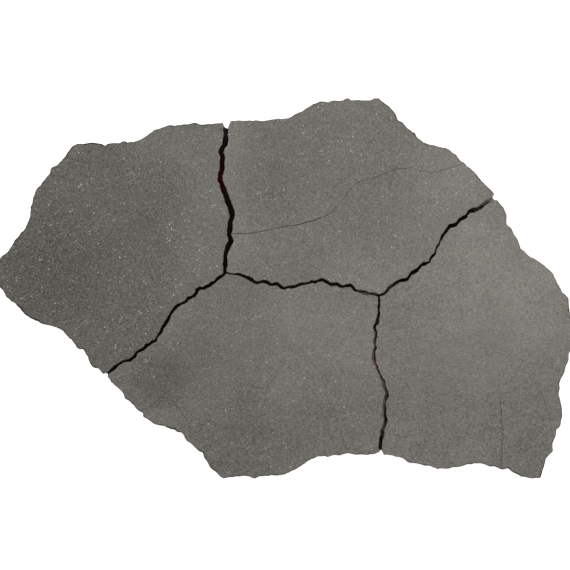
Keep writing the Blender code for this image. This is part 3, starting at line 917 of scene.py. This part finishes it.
def with_mica(shader, colour, where, split, specks):
    """The colour with pale flecks on it, fewer on a split edge."""
    cluster = MICA_LEAST + shader.noise(where, MICA_PLACES).rising(MICA_SPAN) * MICA_MORE
    cluster = cluster * (1.0 - split * MICA_LOST_ON_SPLIT)
    settings = {"feature": "F1", "voronoi_dimensions": "3D"}
    for scale, rarity, strength in FLECKS:
        sockets = {"Vector": where, "Scale": scale, "Randomness": 1.0}
        far = shader.node("ShaderNodeTexVoronoi", settings, sockets)
        cell = shader.node("ShaderNodeTexVoronoi", settings, sockets, output=1)
        lot = shader.node("ShaderNodeSeparateColor", {}, {"Color": cell})  # a random number for each fleck
        fleck = far.falling(FLECK_EDGE) * lot**rarity
        colour = shader.blend(fleck * cluster * (specks * strength), colour, MICA)
    return colour


def crack_colour(shader, plan, height, mottle):
    """The colour of the cracks' walls: a black that is partly the dark stone and partly painted shade, with
    stains, dust and spots of painted shade on it, and mottle taking it back to the black in patches.
    """
    colour = SHADE_AND_STREAK_BLACK
    for middle, radius, fade, top, spot_colour in STAINS_AND_SHADE_SPOTS:
        reached = height.falling((top - SPOT_FADE, top))
        colour = shader.blend(shader.spot(plan, middle, radius, fade) * reached, colour, spot_colour)
    return shader.blend(mottle.rising(CRACK_DARK_MOTTLE_SPAN) * CRACK_DARK_MOTTLE, colour, SHADE_AND_STREAK_BLACK)


def slate(name, look, patches):
    """The slate of one piece, with its own look and its broad patches of tone and painted light and shade."""
    shader = Shader(name)
    where = shader.place()
    plan = shader.place(FLAT)
    height = shader.node("ShaderNodeSeparateXYZ", {}, {"Vector": where}, output=2)
    clouds = shader.noise(where, CLOUDS)
    streaks = shader.noise(shader.place(STREAK_STRETCH, STREAK_TURN), STREAKS)
    grain = shader.noise(where, GRAIN)
    mottle = shader.noise(where, MOTTLE)
    tone = look.lightness + clouds.centred() * (CLOUD_TONE * look.swirl)
    tone = tone + streaks.centred() * (STREAK_TONE * look.swirl)
    # Broad patches: the stone's own tone and painted light and shade together.
    for middle, radius, fade, change in patches:
        tone = tone + shader.spot(plan, middle, radius, fade) * change
    tone = tone + grain.centred() * (GRAIN_TONE * look.grit) + mottle.centred() * (MOTTLE_TONE * look.swirl)

    past = shader.layer("past_rim").rising(RIM_BLUR)
    crack = past * shader.layer("crack_side")
    split = past - crack
    strata = shader.noise(shader.place(STRATA_STRETCH), STRATA)
    shade = shader.noise(where, RIM_SHADE_PLACES).rising(RIM_SHADE_SPAN)
    rim = height.rising(UNDER_RIM)
    tone = tone - split * (SPLIT_SHADE + strata.centred() * STRATA_TONE + rim * shade * RIM_SHADE)

    colour = shader.blend(tone.clamped(), SLATE_DARK, SLATE_LIGHT)
    colour = with_mica(shader, colour, where, split, look.specks)
    colour = shader.blend(shader.layer("light_line"), colour, SCRATCH_PALE)
    # Dark lines: the dark streaks' own colour, and painted shade in the fissure's groove.
    colour = shader.blend(shader.layer("dark_line_and_groove_shade"), colour, SHADE_AND_STREAK_BLACK)
    # The crack walls take the colour of the cracks, whose black is partly painted shade.
    colour = shader.blend(crack, colour, crack_colour(shader, plan, height, mottle))
    relief = grain * GRAIN_BUMP + mottle * MOTTLE_BUMP
    bump = shader.node(
        "ShaderNodeBump", {}, {"Strength": BUMP_STRENGTH, "Distance": BUMP_HEIGHT, "Height": relief}
    )
    return shader.surfaced(
        {
            "Base Color": colour,
            "Roughness": ROUGHNESS + grain.centred() * GRAIN_ROUGHNESS,
            "Normal": bump,
            "Metallic": 0.0,
            "Specular IOR Level": SPECULAR,
        }
    )


# ---- floor, light and camera ----

FLOOR_HALF = 20.0  # half of the floor's side
FLOOR_DROP = 0.0002  # how far the floor is under the slab
FLOOR_GREY = (0.9, 0.9, 0.9, 1.0)
WHITE = (1.0, 1.0, 1.0, 1.0)
FLOOR_GLOW = 0.6
SKY_LIGHT = 0.45

# Square lamps that look at the slab: name, place, side and power in watts.
LAMPS = (
    ("key", (-1.6, 1.5, 1.5), 1.2, 42.0),
    ("fill", (1.9, 0.6, 1.5), 1.4, 24.0),
    ("front", (0.2, -2.0, 1.5), 1.4, 18.0),
)

EYE_PLACE = (0.0020, 0.0054)  # the camera is right above this
EYE_HEIGHT = 3.6  # above the slab's top, far enough for almost no perspective
SEEN_WIDTH = 0.9110  # of the view at the slab's top
SENSOR_WIDTH = 36.0  # in millimetres


def floor():
    made = bpy.data.meshes.new("floor")
    corners = [(x * FLOOR_HALF, y * FLOOR_HALF, 0) for x, y in ((-1, -1), (1, -1), (1, 1), (-1, 1))]
    made.from_pydata(corners, [], [(0, 1, 2, 3)])
    plane = bpy.data.objects.new("floor", made)
    plane.location.z = -FLOOR_DROP
    pale = Shader("pale_floor").surfaced(
        {
            "Base Color": FLOOR_GREY,
            "Roughness": 1.0,
            "Specular IOR Level": 0.0,
            "Emission Color": WHITE,
            "Emission Strength": FLOOR_GLOW,
        }
    )
    made.materials.append(pale)
    bpy.context.scene.collection.objects.link(plane)
    plane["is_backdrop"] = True


def studio():
    world = bpy.data.worlds.new("studio")
    world.use_nodes = True
    sky = world.node_tree.nodes["Background"]
    sky.inputs["Color"].default_value = WHITE
    sky.inputs["Strength"].default_value = SKY_LIGHT
    bpy.context.scene.world = world
    for name, place, side, power in LAMPS:
        data = bpy.data.lights.new(name, "AREA")
        data.shape = "SQUARE"
        data.size = side
        data.energy = power
        lamp = bpy.data.objects.new(name, data)
        lamp.location = place
        lamp.rotation_euler = (-Vector(place)).to_track_quat("-Z", "Y").to_euler()
        bpy.context.scene.collection.objects.link(lamp)


def camera():
    """Looks straight down at the slab."""
    data = bpy.data.cameras.new("camera")
    data.sensor_width = SENSOR_WIDTH
    data.lens = SENSOR_WIDTH * EYE_HEIGHT / SEEN_WIDTH
    eye = bpy.data.objects.new("camera", data)
    eye.location = (*EYE_PLACE, SLAB_TOP + EYE_HEIGHT)
    bpy.context.scene.collection.objects.link(eye)
    bpy.context.scene.camera = eye


def main():
    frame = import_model()
    cad_low, cad_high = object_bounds()
    bpy.context.scene.view_settings.view_transform = "Standard"
    for name, look in LOOKS.items():
        slate_name = name.replace("piece", "slate")
        node = frame["nodes"][name]
        others = [frame["nodes"][other] for other in LOOKS if other != name]
        made = fine_copy(node, slate_name)
        rim = rim_of(node, FISSURE if name == "rear_piece" else ())
        weather(made, rim, others, MARKS[name], NUDGES[name], (cad_low, cad_high))
        made.data.materials.clear()
        made.data.materials.append(slate(slate_name, look, TONE_AND_LIGHT_PATCHES[name]))
        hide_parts(name)
        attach(made, "root")
    floor()
    studio()
    camera()


main()
